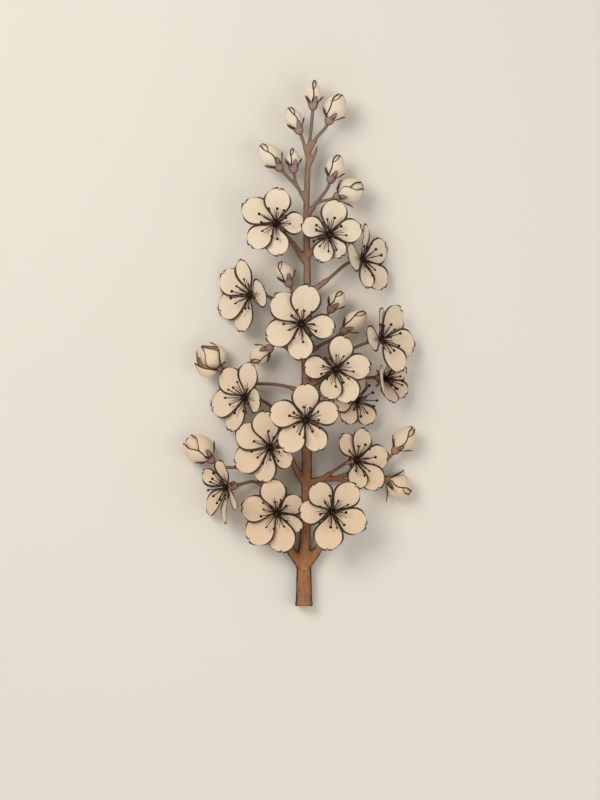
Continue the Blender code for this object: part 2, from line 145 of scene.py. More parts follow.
# Side branches and the short spurs that carry one stalk each, in the same form as the stem.
BRANCHES = {
    "fork_left": ((0.0, 18.0, 4.0, 2.6), (-6.8, 27.0, 4.3, 1.9), (-10.2, 35.0, 4.8, 1.2)),
    "fork_right": ((0.0, 18.0, 4.0, 2.6), (6.8, 27.0, 4.5, 1.9), (10.2, 35.0, 5.2, 1.2)),
    "low_left": ((0.9, 45.0, 4.7, 1.5), (-10.0, 52.5, 4.6, 1.2), (-21.5, 58.0, 5.4, 1.0)),
    "bud_13": ((-17.0, 56.0, 5.0, 1.0), (-22.5, 62.5, 5.6, 0.95)),
    "middle_left": ((1.3, 56.5, 4.9, 1.8), (-3.4, 63.5, 5.2, 1.4), (-5.8, 69.0, 6.2, 1.1)),
    "low_right": ((1.3, 57.0, 4.9, 1.7), (8.0, 59.6, 5.0, 1.5), (16.0, 60.2, 4.8, 1.2)),
    "flower_11": ((8.0, 59.6, 5.0, 1.2), (12.5, 62.6, 6.8, 1.1)),
    "bud_14": ((15.0, 60.2, 4.8, 1.0), (21.0, 62.2, 4.6, 0.95)),
    "bud_15": ((15.0, 60.2, 4.8, 1.0), (21.0, 58.2, 4.6, 0.95)),
    "flower_09": ((1.2, 73.0, 5.3, 1.3), (0.9, 78.0, 8.6, 1.05)),
    "flower_08": ((1.2, 83.0, 5.5, 1.5), (-9.0, 89.5, 6.3, 1.1)),
    "flower_15": ((1.1, 91.0, 5.7, 1.3), (8.5, 93.8, 5.6, 1.0)),
    "flower_16": ((1.1, 97.0, 5.9, 1.3), (13.0, 102.0, 6.4, 1.0)),
    "bud_12": ((1.1, 100.5, 6.0, 1.3), (-6.5, 103.0, 5.6, 0.95)),
    "flower_07": ((1.1, 103.5, 6.0, 1.3), (6.5, 105.5, 8.4, 1.05)),
    "flower_06": ((1.1, 111.5, 6.2, 1.4), (12.5, 116.2, 7.0, 1.05)),
    "bud_11": ((1.1, 115.0, 6.3, 1.2), (-4.5, 118.5, 6.5, 0.95)),
    "flower_05": ((1.1, 116.5, 6.3, 1.3), (0.4, 121.8, 9.4, 1.05)),
    "bud_10": ((1.1, 118.5, 6.4, 1.2), (6.5, 122.0, 6.8, 0.95)),
    "bud_09": ((1.2, 126.0, 6.7, 1.2), (5.5, 130.2, 7.2, 0.95)),
    "flower_04": ((1.3, 134.0, 6.9, 1.4), (-7.5, 140.0, 7.4, 1.05)),
    "bud_08": ((1.3, 138.5, 7.1, 1.2), (-2.8, 143.8, 7.6, 0.95)),
    "flower_03": ((1.4, 146.5, 7.4, 1.5), (11.0, 153.5, 8.6, 1.1)),
    "flower_01": ((1.4, 161.0, 7.8, 1.5), (-5.4, 171.0, 8.8, 1.1)),
    "flower_02": ((1.4, 163.5, 7.9, 1.2), (5.2, 168.6, 10.4, 1.05)),
    "buds_06_07": ((1.2, 182.5, 8.5, 1.2), (4.8, 188.2, 9.2, 0.95)),
    "buds_04_05": ((1.4, 190.0, 8.7, 1.2), (-1.6, 194.8, 9.2, 0.95)),
    "bud_03": ((2.1, 210.5, 9.5, 1.1), (0.2, 216.6, 10.0, 0.9)),
    "bud_02": ((2.2, 213.0, 9.6, 1.0), (5.6, 219.6, 10.1, 0.9)),
    "scale_leaf": ((2.1, 207.0, 9.4, 1.1), (5.0, 212.6, 10.4, 0.8), (6.2, 216.2, 11.4, 0.3)),
}

# Where a flower or bud starts, if its spur has another name.
SEATS = {
    "flower_10": "middle_left",
    "flower_12": "low_left",
    "flower_13": "fork_left",
    "flower_14": "fork_right",
    "bud_04": "buds_04_05",
    "bud_05": "buds_04_05",
    "bud_06": "buds_06_07",
    "bud_07": "buds_06_07",
}

# Flowers: throat point, heading and tilt of the face, how far the petals rise towards the axis,
# and each petal's direction and reach as seen from above. Angles are in degrees.
FLOWERS = {
    "flower_01": ((-13.1, 179.6, 16.0), 150, 8, 12,
                  ((86, 16.6), (148, 17.9), (220, 16.2), (274, 15.3), (0, 13.5))),
    "flower_02": ((11.6, 174.5, 20.5), 300, 9, 12,
                  ((76, 16.0), (8, 15.7), (-61, 12.6), (-107, 13.8), (159, 13.4))),
    "flower_03": ((27.3, 163.0, 11.5), 10, 50, 14,
                  ((83, 16.8), (28, 13.9), (-49, 17.2), (-78, 13.9), (170, 6.5))),
    "flower_04": ((-25.1, 146.2, 10.2), 188, 42, 14,
                  ((144, 17.4), (205, 17.7), (252, 17.8), (105, 17.1), (10, 7.0))),
    "flower_05": ((-1.2, 132.5, 23.0), 270, 5, 11,
                  ((80, 18.3), (134, 18.2), (203, 17.7), (267, 17.0), (-8, 15.7))),
    "flower_06": ((36.1, 125.3, 17.0), 10, 46, 14,
                  ((57, 18.0), (88, 14.8), (-11, 16.5), (-55, 17.9), (175, 6.5))),
    "flower_07": ((14.6, 111.4, 20.0), 0, 4, 11,
                  ((75, 16.0), (6, 16.7), (-62, 17.3), (257, 14.5), (175, 14.7))),
    "flower_08": ((-27.4, 98.0, 10.6), 180, 40, 14,
                  ((81, 16.5), (131, 17.3), (193, 17.5), (241, 17.3), (-15, 7.0))),
    "flower_09": ((0.8, 88.0, 22.5), 270, 6, 11,
                  ((90, 16.6), (18, 16.0), (-64, 16.2), (234, 17.9), (166, 17.2))),
    "flower_10": ((-15.7, 74.8, 15.5), 190, 20, 12,
                  ((101, 17.4), (152, 17.9), (207, 19.3), (255, 16.8), (-38, 12.6))),
    "flower_11": ((24.4, 68.8, 13.5), 15, 34, 13,
                  ((119, 13.6), (73, 15.6), (6, 15.8), (-48, 17.5), (-85, 13.2))),
    "flower_12": ((-36.0, 56.2, 12.2), 190, 60, 18,
                  ((150, 14.2), (105, 13.0), (-60, 10.3), (-95, 17.2), (-130, 16.0))),
    "flower_13": ((-12.5, 44.2, 11.6), 230, 8, 12,
                  ((101, 16.0), (170, 17.1), (226, 20.2), (279, 18.9), (28, 13.2), (-34, 14.0))),
    "flower_14": ((13.0, 44.9, 18.2), 320, 8, 12,
                  ((123, 15.5), (48, 17.0), (-24, 17.5), (262, 18.2), (180, 15.3))),
    "flower_15": ((24.9, 97.0, 9.5), 0, 30, 10,
                  ((-58, 13.3), (80, 9.5), (125, 11.5), (185, 11.0), (240, 12.0))),
    "flower_16": ((38.0, 107.2, 8.8), 355, 48, 38,
                  ((62, 9.5), (20, 12.0), (-38, 13.5), (-70, 12.0), (-130, 9.0))),
}

# Buds: foot of the calyx, tip, width of the closed petals.
BUDS = {
    "bud_01": ((4.1, 232.8, 10.8), (5.0, 247.2, 11.8), 7.4),
    "bud_02": ((10.9, 226.1, 11.0), (17.4, 240.5, 12.5), 10.6),
    "bud_03": ((-1.5, 221.6, 10.8), (-7.1, 234.4, 12.0), 7.9),
    "bud_04": ((-10.3, 204.7, 10.2), (-20.4, 216.9, 11.5), 10.3),
    "bud_05": ((-4.7, 203.4, 10.0), (-5.5, 215.3, 11.5), 6.5),
    "bud_06": ((12.0, 198.6, 10.2), (16.5, 212.1, 11.5), 8.9),
    "bud_07": ((13.8, 191.7, 10.4), (27.7, 198.0, 12.4), 11.3),
    "bud_08": ((-6.3, 150.0, 8.4), (-11.1, 162.2, 9.6), 8.3),
    "bud_09": ((11.6, 137.9, 8.2), (17.9, 148.1, 9.6), 8.0),
    "bud_10": ((17.2, 128.3, 8.2), (29.0, 138.4, 9.8), 9.5),
    "bud_11": ((-14.5, 122.5, 8.0), (-24.9, 115.1, 8.6), 9.4),
    "bud_12": ((-38.7, 110.8, 5.0), (-49.0, 122.0, 7.0), 13.0),
    "bud_13": ((-42.2, 67.6, 6.2), (-55.2, 79.1, 6.8), 12.5),
    "bud_14": ((41.7, 71.7, 6.6), (51.4, 84.3, 8.4), 10.3),
    "bud_15": ((37.3, 60.6, 5.9), (50.3, 53.4, 6.4), 12.0),
}

# Width shares of petals seen foreshortened, by plan direction. A slim one is folded.
WIDTHS = {
    "flower_03": {83: 0.6, -78: 0.75, 170: 1.3},
    "flower_04": {105: 0.6, 10: 1.45},
    "flower_06": {88: 0.7, -55: 0.85, 175: 1.3},
    "flower_08": {81: 0.75, -15: 1.4},
    "flower_12": {150: 0.65, 105: 0.75, -60: 0.8, -95: 0.75, -130: 0.8},
    "flower_13": {-34: 0.8},
}

# How far the sepal tips stand off the bud, in millimetres.
USUAL_FLARE = 0.6
SEPAL_FLARE = {"bud_02": 1.1, "bud_07": 1.2, "bud_14": 1.3, "bud_15": 3.6}

# Width of a bud's inner petals against the bud's.
USUAL_CORE_SHARE = 0.93
CORE_SHARES = {"bud_12": 0.7}

# Petals that have let go of their bud: direction round its axis (180 faces up), opening and
# half the angle that they wrap.
OPEN_PETALS = {
    "bud_07": ((100, 3, 76), (215, 9, 76), (340, 0, 76)),
    "bud_12": ((122, 40, 50), (244, 24, 52), (186, 8, 46), (60, 10, 56), (320, 6, 56)),
    "bud_13": ((110, 9, 74), (235, 7, 74), (350, 0, 76)),
}


def cut_end():
    """The point in the frame, in millimetres, from which the plan positions count."""
    low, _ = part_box("twig")
    ring = [v.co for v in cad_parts["twig"].data.vertices if v.co.y < low[1] + 0.4 * MM]
    middle = sum(ring, Vector()) / len(ring)
    return middle / MM - Vector(STEM[0][:3])


START = cut_end()

# Linear colour of the dark margins along petal and sepal edges and of the veins, also used as painted
# shade on the steep flanks and undersides of the bark, stalks and cups.
MARGIN_AND_SHADE_BROWN = (0.022, 0.012, 0.009)

# The warm tint of the cut end fades out this far, in metres, each side of the sprig's middle.
TINT_REACH = 0.11

# How far from the edge the inked margin of a petal and of a sepal starts and ends to fade.
PETAL_MARGIN = (0.76, 0.96)
SEPAL_MARGIN = (0.22, 0.42)

# A petal's inked veins: slope against its middle line, and reach from the flower's axis.
VEINS = ((-0.42, 3.8), (-0.17, 6.2), (0.0, 8.2), (0.16, 7.0), (0.4, 4.2))


# ---------------------------------------------------------------- materials


class Nodes:
    """A material's node tree, with short calls for the nodes used here."""

    def __init__(self, name, roughness, **values):
        self.material = bpy.data.materials.new(name)
        self.material.use_nodes = True
        self.tree = self.material.node_tree
        self.shader = self.tree.nodes["Principled BSDF"]
        self.shader.inputs["Roughness"].default_value = roughness
        for socket, value in values.items():
            self.shader.inputs[socket.replace("_", " ")].default_value = value

    def put(self, socket, value):
        if isinstance(value, bpy.types.NodeSocket):
            self.tree.links.new(value, socket)
        else:
            socket.default_value = value

    def attribute(self, name):
        node = self.tree.nodes.new("ShaderNodeAttribute")
        node.attribute_name = name
        return node.outputs["Fac"]

    def position(self):
        return self.tree.nodes.new("ShaderNodeNewGeometry").outputs["Position"]

    def part(self, vector, axis):
        node = self.tree.nodes.new("ShaderNodeSeparateXYZ")
        self.put(node.inputs[0], vector)
        return node.outputs[axis]

    def scaled(self, vector, scale):
        node = self.tree.nodes.new("ShaderNodeMapping")
        self.put(node.inputs["Vector"], vector)
        node.inputs["Scale"].default_value = scale
        return node.outputs[0]

    def math(self, operation, first, second=0.0):
        node = self.tree.nodes.new("ShaderNodeMath")
        node.operation = operation
        self.put(node.inputs[0], first)
        self.put(node.inputs[1], second)
        return node.outputs[0]

    def step(self, value, low, high):
        """1 below low, 0 above high, smooth between."""
        node = self.tree.nodes.new("ShaderNodeMapRange")
        node.interpolation_type = "SMOOTHSTEP"
        self.put(node.inputs["Value"], value)
        node.inputs["From Min"].default_value = low
        node.inputs["From Max"].default_value = high
        node.inputs["To Min"].default_value = 1.0
        node.inputs["To Max"].default_value = 0.0
        return node.outputs[0]

    def noise(self, vector, scale, detail=4.0, roughness=0.55):
        node = self.tree.nodes.new("ShaderNodeTexNoise")
        self.put(node.inputs["Vector"], vector)
        node.inputs["Scale"].default_value = scale
        node.inputs["Detail"].default_value = detail
        node.inputs["Roughness"].default_value = roughness
        return node.outputs["Fac"]

    def mix(self, factor, first, second):
        node = self.tree.nodes.new("ShaderNodeMix")
        node.data_type = "RGBA"
        for number, value in ((0, factor), (6, first), (7, second)):
            if isinstance(value, tuple):
                value = (*value, 1.0)
            self.put(node.inputs[number], value)
        return node.outputs[2]

    def bump(self, height, strength, distance):
        node = self.tree.nodes.new("ShaderNodeBump")
        self.put(node.inputs["Height"], height)
        node.inputs["Strength"].default_value = strength
        node.inputs["Distance"].default_value = distance
        self.tree.links.new(node.outputs[0], self.shader.inputs["Normal"])

    def colour(self, value):
        self.put(self.shader.inputs["Base Color"], value)


def low_share(nodes):
    """1 at the cut end of the sprig, 0 at its tip."""
    return nodes.step(nodes.part(nodes.position(), 1), -TINT_REACH, TINT_REACH)


def painted_flank_shade(nodes, steep, flat):
    """Painted shade: 1 where the surface faces sideways or down, 0 where it faces up."""
    normal = nodes.tree.nodes.new("ShaderNodeNewGeometry").outputs["Normal"]
    return nodes.step(nodes.part(normal, 2), steep, flat)


def petal_material():
    """Cream petals, warmer low on the sprig, with a dark margin and a few dark base veins."""
    cream = (0.86, 0.74, 0.57)
    warm_cream = (0.79, 0.585, 0.40)
    pink_mottle = (0.90, 0.62, 0.46)
    throat_blush = (0.62, 0.38, 0.26)
    brown_fibre = (0.60, 0.40, 0.28)
    nodes = Nodes("petal", 0.6, Subsurface_Weight=0.12, Sheen_Weight=0.02, Specular_IOR_Level=0.18)
    nodes.shader.inputs["Subsurface Radius"].default_value = (0.004, 0.0025, 0.0015)
    nodes.shader.inputs["Subsurface Scale"].default_value = 0.5
    out = nodes.attribute("out")
    across = nodes.attribute("across")
    body = nodes.mix(low_share(nodes), cream, warm_cream)
    mottle = nodes.noise(nodes.position(), 420.0, 3.0)
    body = nodes.mix(nodes.math("MULTIPLY", mottle, 0.2), body, pink_mottle)
    blush = nodes.math("MULTIPLY", nodes.step(out, PETAL_START, 7.0), 0.4)
    body = nodes.mix(blush, body, throat_blush)
    fan = nodes.tree.nodes.new("ShaderNodeCombineXYZ")
    nodes.put(fan.inputs[0], nodes.math("DIVIDE", across, nodes.math("ADD", out, 6.0)))
    nodes.put(fan.inputs[1], nodes.math("MULTIPLY", out, 0.02))
    streaks = nodes.noise(fan.outputs[0], 42.0, 3.0, 0.6)
    fibres = nodes.math("MULTIPLY", nodes.step(streaks, 0.36, 0.5), 0.2)
    body = nodes.mix(fibres, body, brown_fibre)
    margin = nodes.step(nodes.attribute("rim"), *PETAL_MARGIN)
    ink = nodes.math("MAXIMUM", margin, veins(nodes, across, out))
    nodes.colour(nodes.mix(nodes.math("MULTIPLY", ink, 0.96), body, MARGIN_AND_SHADE_BROWN))
    nodes.bump(streaks, 0.25, 0.0002)
    return nodes.material


def veins(nodes, across, out):
    """Five fine dark strokes that fan out from the base of a petal."""
    lean = nodes.attribute("lean")
    found = 0.0
    for slope, reach in VEINS:
        line = nodes.math("MULTIPLY", out, nodes.math("ADD", lean, slope))
        away = nodes.math("ABSOLUTE", nodes.math("SUBTRACT", across, line))
        stroke = nodes.step(away, 0.1, 0.24)
        stroke = nodes.math("MULTIPLY", stroke, nodes.step(out, reach - 1.2, reach))
        found = nodes.math("MAXIMUM", stroke, found)
    return found


def bark_material():
    """Warm brown cherry bark, greyer towards the tip, with fine ridges and pale lenticels."""
    grey_brown = (0.31, 0.205, 0.155)
    red_brown = (0.36, 0.145, 0.058)
    crack_brown = (0.11, 0.05, 0.025)
    patch_tan = (0.42, 0.24, 0.15)
    pore_tan = (0.47, 0.27, 0.16)
    nodes = Nodes("bark", 0.75, Specular_IOR_Level=0.2)
    place = nodes.position()
    body = nodes.mix(low_share(nodes), grey_brown, red_brown)
    ridges = nodes.noise(nodes.scaled(place, (1.0, 0.16, 1.0)), 1500.0, 6.0, 0.65)
    cracks = nodes.math("MULTIPLY", nodes.step(ridges, 0.36, 0.5), 0.7)
    body = nodes.mix(cracks, body, crack_brown)
    patches = nodes.noise(place, 160.0, 3.0)
    body = nodes.mix(nodes.math("MULTIPLY", patches, 0.3), body, patch_tan)
    pores = nodes.noise(nodes.scaled(place, (0.35, 1.5, 0.35)), 900.0, 1.0)
    body = nodes.mix(nodes.step(pores, 0.27, 0.31), body, pore_tan)
    # Painted shade: the bark's flanks and underside are darkened nearly to the dark brown.
    body = nodes.mix(nodes.math("MULTIPLY", painted_flank_shade(nodes, 0.5, 0.72), 0.9), body, MARGIN_AND_SHADE_BROWN)
    nodes.colour(body)
    nodes.bump(ridges, 0.5, 0.0004)
    return nodes.material


def calyx_material(name, high, low, steep, flat):
    """Dull mauve-brown skin with dark edges, from colour high at the sprig's tip to low at its cut.

    The skin is darkened with painted shade where it is steep: fully where its normal rises less than
    steep, and not at all where it rises more than flat.
    """
    spot_brown = (0.27, 0.13, 0.09)
    nodes = Nodes(name, 0.6, Specular_IOR_Level=0.2)
    place = nodes.position()
    body = nodes.mix(low_share(nodes), high, low)
    spots = nodes.noise(place, 900.0, 4.0)
    body = nodes.mix(nodes.math("MULTIPLY", spots, 0.5), body, spot_brown)
    edge = nodes.step(nodes.attribute("rim"), *SEPAL_MARGIN)
    # Dark sepal margins, which are real colour, together with painted shade on the steep flanks and
    # undersides.
    dark = nodes.math("MAXIMUM", edge, painted_flank_shade(nodes, steep, flat))
    body = nodes.mix(nodes.math("MULTIPLY", dark, 0.88), body, MARGIN_AND_SHADE_BROWN)
    nodes.colour(body)
    nodes.bump(spots, 0.3, 0.0002)
    return nodes.material


def dark_material(name, colour, roughness):
    """Stamens and pistil: nearly black brown with a little variation."""
    nodes = Nodes(name, roughness, Specular_IOR_Level=0.22)
    grain = nodes.noise(nodes.position(), 1800.0, 2.0)
    lighter = tuple(min(1.0, value * 2.2) for value in colour)
    nodes.colour(nodes.mix(nodes.math("MULTIPLY", grain, 0.5), colour, lighter))
    nodes.bump(grain, 0.3, 0.0001)
    return nodes.material


def wood_material():
    """The pale cut face of the twig, with growth rings round the pith."""
    pale_ring = (0.62, 0.42, 0.24)
    dark_ring = (0.42, 0.24, 0.12)
    nodes = Nodes("cut_wood", 0.75)
    rings = nodes.tree.nodes.new("ShaderNodeTexWave")
    rings.wave_type = "RINGS"
    rings.rings_direction = "SPHERICAL"
    shift = nodes.tree.nodes.new("ShaderNodeMapping")
    centre = (START + Vector(STEM[0][:3])) * MM
    nodes.put(shift.inputs["Vector"], nodes.position())
    shift.inputs["Location"].default_value = -centre
    nodes.put(rings.inputs["Vector"], shift.outputs[0])
    rings.inputs["Scale"].default_value = 190.0
    rings.inputs["Distortion"].default_value = 0.6
    nodes.colour(nodes.mix(rings.outputs["Fac"], pale_ring, dark_ring))
    nodes.bump(nodes.noise(nodes.position(), 3000.0), 0.3, 0.0001)
    return nodes.material


MATERIALS = {
    "petal": petal_material(),
    "bark": bark_material(),
    # The last two numbers of calyx and stalk set where painted shade darkens their steep flanks and
    # undersides.
    "calyx": calyx_material("calyx", (0.42, 0.29, 0.235), (0.40, 0.22, 0.14), 0.42, 0.66),
    "stalk": calyx_material("stalk", (0.26, 0.18, 0.145), (0.29, 0.14, 0.085), 0.6, 0.84),
    "stamen": dark_material("stamen", (0.022, 0.011, 0.008), 0.5),
    "pistil": dark_material("pistil", (0.05, 0.035, 0.015), 0.45),
    "wood": wood_material(),
}


# ---------------------------------------------------------------- mesh helpers


class Shape:
    """Vertices in millimetres, faces, and numbers on each vertex that the materials read."""

    def __init__(self, *fields):
        self.points = []
        self.faces = []
        self.fields = {field: [] for field in fields}

    def grid(self, rows, values=()):
        """Adds a sheet from rows of points; values holds a tuple of field numbers per point."""
        first = len(self.points)
        wide = len(rows[0])
        for row in rows:
            self.points.extend(row)
        for name, numbers in zip(self.fields, zip(*values)):
            self.fields[name].extend(numbers)
        for i in range(len(rows) - 1):
            for j in range(wide - 1):
                a = first + i * wide + j
                self.faces.append((a, a + 1, a + wide + 1, a + wide))

    def tube(self, path, radii, sides):
        """Adds a closed round tube along a path of points, far from every inked edge."""
        first = len(self.points)
        side = None
        for number, (point, radius) in enumerate(zip(path, radii)):
            before = path[max(number - 1, 0)]
            after = path[min(number + 1, len(path) - 1)]
            way = (after - before).normalized()
            if side is None:
                side = way.orthogonal().normalized()
            side = (side - way * side.dot(way)).normalized()
            over = way.cross(side)
            for k in range(sides):
                turn = math.tau * k / sides
                spot = point + (side * math.cos(turn) + over * math.sin(turn)) * radius
                self.points.append(spot)
        for ring in range(len(path) - 1):
            for k in range(sides):
                a = first + ring * sides + k
                b = first + ring * sides + (k + 1) % sides
                self.faces.append((a, b, b + sides, a + sides))
        self.faces.append(tuple(first + k for k in reversed(range(sides))))
        last = first + (len(path) - 1) * sides
        self.faces.append(tuple(last + k for k in range(sides)))
        for numbers in self.fields.values():
            numbers.extend([FAR_INSIDE] * (len(path) * sides))

    def make(self, name, material, slot, facing=None, point=(0.0, 0.0, 0.0), node=None):
        """Turns the shape into a piece that rides on the sprig."""
        turn = facing.to_matrix() if facing else Matrix.Identity(3)
        origin = START + Vector(point)
        places = [origin + turn @ Vector(p) for p in self.points]
        for place in places:
            place.z = max(place.z, REST_HEIGHT)
        mesh = bpy.data.meshes.new(name)
        mesh.from_pydata([place * MM for place in places], [], self.faces)
        for field, numbers in self.fields.items():
            layer = mesh.attributes.new(field, "FLOAT", "POINT")
            layer.data.foreach_set("value", numbers)
        mesh.materials.append(MATERIALS[material])
        mesh.shade_smooth()
        piece = bpy.data.objects.new(name, mesh)
        bpy.context.scene.collection.objects.link(piece)
        finish_piece(piece, node)
        return piece


def finish_piece(piece, node):
    """Hangs the piece on the sprig's root body and hides the CAD node that it stands for."""
    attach(piece, "root")
    if node:
        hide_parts(node)


def thicken(piece, thickness):
    """Gives a sheet its thickness in millimetres, half on each side."""
    skin = piece.modifiers.new("thickness", "SOLIDIFY")
    skin.thickness = thickness * MM
    skin.offset = 0.0


def facing_of(heading, tilt):
    """The turn of a flower or bud whose axis leans by tilt towards heading."""
    return Euler((0.0, math.radians(tilt), math.radians(heading)))


def smooth_path(points, spacing):
    """Points of (x, y, z, radius) read from a smooth curve through the given ones."""
    knots = [Vector(point) for point in points]
    knots = [2 * knots[0] - knots[1], *knots, 2 * knots[-1] - knots[-2]]
    found = []
    for a, b, c, d in zip(knots, knots[1:], knots[2:], knots[3:]):
        steps = max(2, round((c - b).length / spacing))
        for step in range(steps):
            t = step / steps
            found.append(
                0.5
                * (2 * b + (c - a) * t + (2 * a - 5 * b + 4 * c - d) * t**2
                   + (3 * b - a - 3 * c + d) * t**3)
            )
    found.append(knots[-2])
    return found


def seat_of(name):
    """The end of the branch that carries a flower or bud, and its direction there."""
    points = STEM if name == "bud_01" else BRANCHES[SEATS.get(name, name)]
    before = Vector(points[-2][:3])
    last = Vector(points[-1][:3])
    return last, (last - before).normalized()


def stalk_path(seat, seat_way, end, end_way):
    """A stalk's bowed middle line, from inside its spur to the foot of its cup."""
    start = seat - seat_way * SEAT_OVERLAP
    pull = (end - start).length * 0.4
    first = start + seat_way * pull
    second = end - end_way * pull
    path = []
    for step in range(STALK_STEPS + 1):
        t = step / STALK_STEPS
        s = 1.0 - t
        path.append(start * s**3 + first * 3 * s * s * t + second * 3 * s * t * t + end * t**3)
    return path


# ---------------------------------------------------------------- twig


def make_twig():
    """The stem and its branches as one skin, with bark ridges and lenticels."""
    shape = Shape()
    for points in (STEM, *BRANCHES.values()):
        path = smooth_path(points, 1.5)
        radii = [max(point.w, 0.3) + SMOOTHING_LOSS for point in path]
        shape.tube([point.to_3d() for point in path], radii, 20)
    twig = shape.make("twig_wood", "bark", "bark", node="twig")
    remesh = twig.modifiers.new("skin", "REMESH")
    remesh.mode = "VOXEL"
    remesh.voxel_size = BARK_STEP * MM
    smooth = twig.modifiers.new("smooth", "SMOOTH")
    smooth.iterations = 3
    smooth.factor = 0.5
    evaluated = twig.evaluated_get(bpy.context.evaluated_depsgraph_get())
    mesh = bpy.data.meshes.new_from_object(evaluated)
    twig.modifiers.clear()
    twig.data = mesh
    normals = [vert.normal.copy() for vert in mesh.vertices]
    for vert, normal in zip(mesh.vertices, normals):
        vert.co += normal * bark_height(vert.co / MM - START) * MM
        vert.co.z = max(vert.co.z, REST_HEIGHT * MM)
    mesh.shade_smooth()


def bark_height(place):
    """How far the bark stands out, in millimetres: ridges along the stem and short cross bands."""
    x, y, z = place
    if y < SMOOTH_END:
        return 0.0
    strength = 1.0 - 0.6 * min(y / 150.0, 1.0)
    ridges = noise.noise(Vector((x * 1.5, y * 0.22, z * 1.5)))
    fine = noise.noise(Vector((x * 3.4, y * 0.8, z * 3.4)))
    bands = noise.noise(Vector((x * 0.5, y * 2.6, z * 0.5)))
    lenticel = 0.084 if bands > 0.42 else 0.0
    return strength * (0.16 * ridges + 0.07 * fine) + lenticel


def make_cut_face():
    """The sawn end of the twig, just inside the bark."""
    shape = Shape()
    x, y, z, radius = STEM[0]
    way = (Vector(STEM[1][:3]) - Vector(STEM[0][:3])).normalized()
    centre = Vector((x, y, z))
    inside_bark = radius - 0.5
    shape.tube([centre - way * 0.06, centre + way * 0.5], [inside_bark, inside_bark], 40)
    shape.make("cut_face", "wood", "bark")


# ---------------------------------------------------------------- flowers


def petal_angle(heading, tilt, rise, seen):
    """The petal's angle round the flower's own axis, and the share of its length seen from above."""
    offset = math.sin(rise) * math.sin(tilt)
    short = math.cos(rise) * math.cos(tilt)
    wide = math.cos(rise)
    turn = seen - heading
    square = (math.cos(turn) / short) ** 2 + (math.sin(turn) / wide) ** 2
    linear = -2 * offset * math.cos(turn) / short**2
    constant = (offset / short) ** 2 - 1
    share = (-linear + math.sqrt(linear**2 - 4 * square * constant)) / (2 * square)
    return math.atan2(share * math.sin(turn) / wide, (share * math.cos(turn) - offset) / short), share


def petal_layout(name, flower):
    """Each petal's angle round the axis, length and width share, sorted round the flower."""
    _, heading, tilt, rise, petals = flower
    heading, tilt, rise = (math.radians(value) for value in (heading, tilt, rise))
    layout = []
    for seen, reach in petals:
        angle, share = petal_angle(heading, tilt, rise, math.radians(seen))
        width = WIDTHS.get(name, {}).get(seen, 1.0)
        length = min(max(reach / share, SHORTEST_PETAL), LONGEST_PETAL) * TIP_STRETCH
        layout.append((angle % math.tau, length, width))
    return sorted(layout)


def petal_width(along):
    """Half width at a share of the petal's length: a narrow claw, widest past the middle."""
    if along < 0.64:
        return 0.09 + 0.91 * math.sin(math.pi / 2 * (along / 0.64) ** 1.1)
    return 1.0 - 0.46 * ((along - 0.64) / 0.36) ** 2.4


def petal_lift(u, v, across, half_width, fold, phase):
    """How far a petal's surface bows above its straight middle line.

    u runs from -1 to 1 across the petal and v from 0 to 1 along it. The petal leans, so that
    one of its edges lies over its neighbour's.
    """
    lift = across * math.sin(OVERLAP_LEAN) + 0.1 * across**2 / half_width
    lift += fold * (math.hypot(across, 0.8) - 0.8) * (1.0 if u > 0 else 0.15)
    lift += 0.26 * math.sin(5.0 * v + phase + 1.5 * u) * u * u * v
    lift += 0.18 * math.sin(9.0 * v + 2 * phase) * v * v - 0.5 * v**5
    lift -= 0.16 * math.exp(-((u / 0.1) ** 2)) * (1.0 - v)
    return lift


def make_petal(name, petal, rise, luck, facing, point, node):
    """One thin petal: notched tip, dished and slightly twisted, with soft ruffles."""
    columns, rows = 40, 20
    shape = Shape("rim", "across", "out", "lean")
    angle, length, width = petal
    turn = Matrix.Rotation(angle, 3, "Z")
    half_width = PETAL_HALF_WIDTH * width * length / USUAL_LENGTH
    fold = 1.3 * max(0.0, 1.0 - width)
    notch_at = luck.choice((-1, 1)) * luck.uniform(0.04, 0.2)
    notch_depth = luck.uniform(1.3, 1.8)
    tooth_at = notch_at + math.copysign(0.26, notch_at)
    phase = luck.uniform(0.0, math.tau)
    lean = luck.uniform(-0.05, 0.05)
    points = []
    values = []
    for i in range(rows + 1):
        v = i / rows
        row = []
        for j in range(columns + 1):
            u = 2 * j / columns - 1
            notch = notch_depth * math.exp(-(((u - notch_at) / 0.11) ** 2))
            notch += 0.6 * math.exp(-(((u - tooth_at) / 0.08) ** 2))
            tip = length * (1.0 - 0.13 * abs(u) ** 2.3) - notch * v**10
            out = PETAL_START + (tip - PETAL_START) * v
            half = half_width * petal_width(v)
            across = u * half
            height = 0.05 + (out - PETAL_START) * math.sin(rise)
            height += petal_lift(u, v, across, half_width, fold, phase)
            row.append(turn @ Vector((out * math.cos(rise), across, height)))
            side_gap = (1.0 - abs(u)) * half
            tip_gap = (1.0 - v) * (tip - PETAL_START)
            uninked_base = 0.4 if v < 0.12 else 0.0
            values.append((min(side_gap, tip_gap) + uninked_base, across, out, lean))
        points.append(row)
    shape.grid(points, values)
    piece = shape.make(name, "petal", "petal", facing, point, node)
    thicken(piece, PETAL_THICKNESS)


